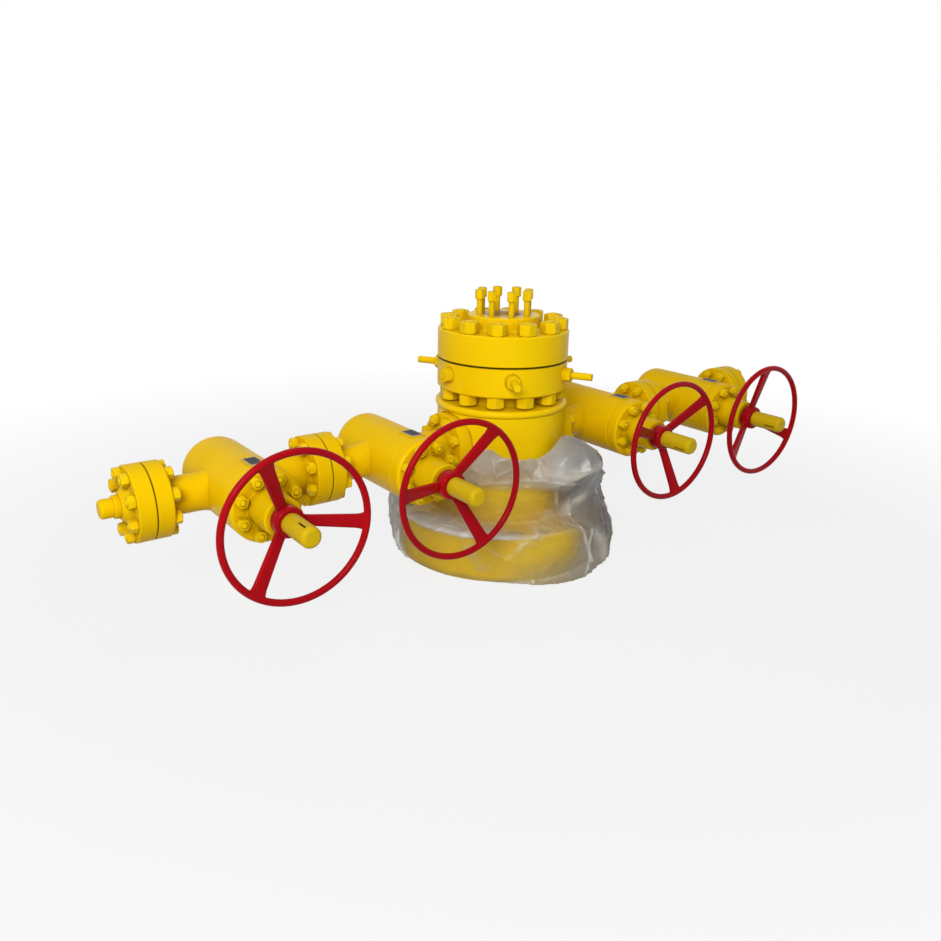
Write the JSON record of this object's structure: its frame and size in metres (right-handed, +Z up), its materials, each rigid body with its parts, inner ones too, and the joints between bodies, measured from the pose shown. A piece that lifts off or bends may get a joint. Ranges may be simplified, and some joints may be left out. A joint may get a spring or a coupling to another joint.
{
  "type": "gas wellhead tubing head with flanged adapter and side gate valves",
  "caption": "Yellow flanged wellhead stack on a wide base flange, with a bolted adapter on top and gate valves with red handwheels on both side outlets.",
  "frame": {"origin": "centre of the base flange's bottom face", "axes": "+Z up, +X along the right arm, the valve stems point along -Y"},
  "size_m": [2.905, 0.9092, 0.98],
  "materials": {
    "yellow_paint": "gloss",
    "fastener_paint": "gloss",
    "cap_paint": "gloss",
    "red_paint": "gloss",
    "bare_plate": "satin",
    "clear_film": "crumpled clear film"
  },
  "bodies": {
    "root": {"tubing_head": "yellow_paint", "head_adapter": "yellow_paint", "head_joint_studs": "fastener_paint", "top_studs": "fastener_paint", "lock_screws": "fastener_paint", "base_film": "clear_film", "left_outer_valve_body": "yellow_paint", "left_outer_bonnet": "yellow_paint", "left_outer_bonnet_nuts": "fastener_paint", "left_outer_nameplate": "bare_plate", "left_inner_valve_body": "yellow_paint", "left_inner_bonnet": "yellow_paint", "left_inner_bonnet_nuts": "fastener_paint", "left_inner_nameplate": "bare_plate", "right_inner_valve_body": "yellow_paint", "right_inner_bonnet": "yellow_paint", "right_inner_bonnet_nuts": "fastener_paint", "right_inner_nameplate": "bare_plate", "right_outer_valve_body": "yellow_paint", "right_outer_bonnet": "yellow_paint", "right_outer_bonnet_nuts": "fastener_paint", "right_outer_nameplate": "bare_plate", "left_outlet_studs": "fastener_paint", "left_middle_studs": "fastener_paint", "left_end_studs": "fastener_paint", "left_end_flange": "yellow_paint", "left_end_plug": "yellow_paint", "right_outlet_studs": "fastener_paint", "right_middle_studs": "fastener_paint", "right_end_studs": "fastener_paint", "right_end_flange": "yellow_paint", "right_end_plug": "yellow_paint"},
    "left_outer_wheel": {"left_outer_handwheel": "red_paint", "left_outer_stem_cap": "cap_paint"},
    "left_inner_wheel": {"left_inner_handwheel": "red_paint", "left_inner_stem_cap": "cap_paint"},
    "right_inner_wheel": {"right_inner_handwheel": "red_paint", "right_inner_stem_cap": "cap_paint"},
    "right_outer_wheel": {"right_outer_handwheel": "red_paint", "right_outer_stem_cap": "cap_paint"}
  },
  "joints": [
    {"name": "left_outer_wheel_turn", "type": "hinge", "parent": "root", "child": "left_outer_wheel", "pos_m": [-1.045, -0.37, 0.438], "axis": [0, 1, 0], "continuous": true},
    {"name": "left_inner_wheel_turn", "type": "hinge", "parent": "root", "child": "left_inner_wheel", "pos_m": [-0.492, -0.37, 0.438], "axis": [0, 1, 0], "continuous": true},
    {"name": "right_inner_wheel_turn", "type": "hinge", "parent": "root", "child": "right_inner_wheel", "pos_m": [0.492, -0.37, 0.438], "axis": [0, 1, 0], "continuous": true},
    {"name": "right_outer_wheel_turn", "type": "hinge", "parent": "root", "child": "right_outer_wheel", "pos_m": [1.045, -0.37, 0.438], "axis": [0, 1, 0], "continuous": true}
  ]
}
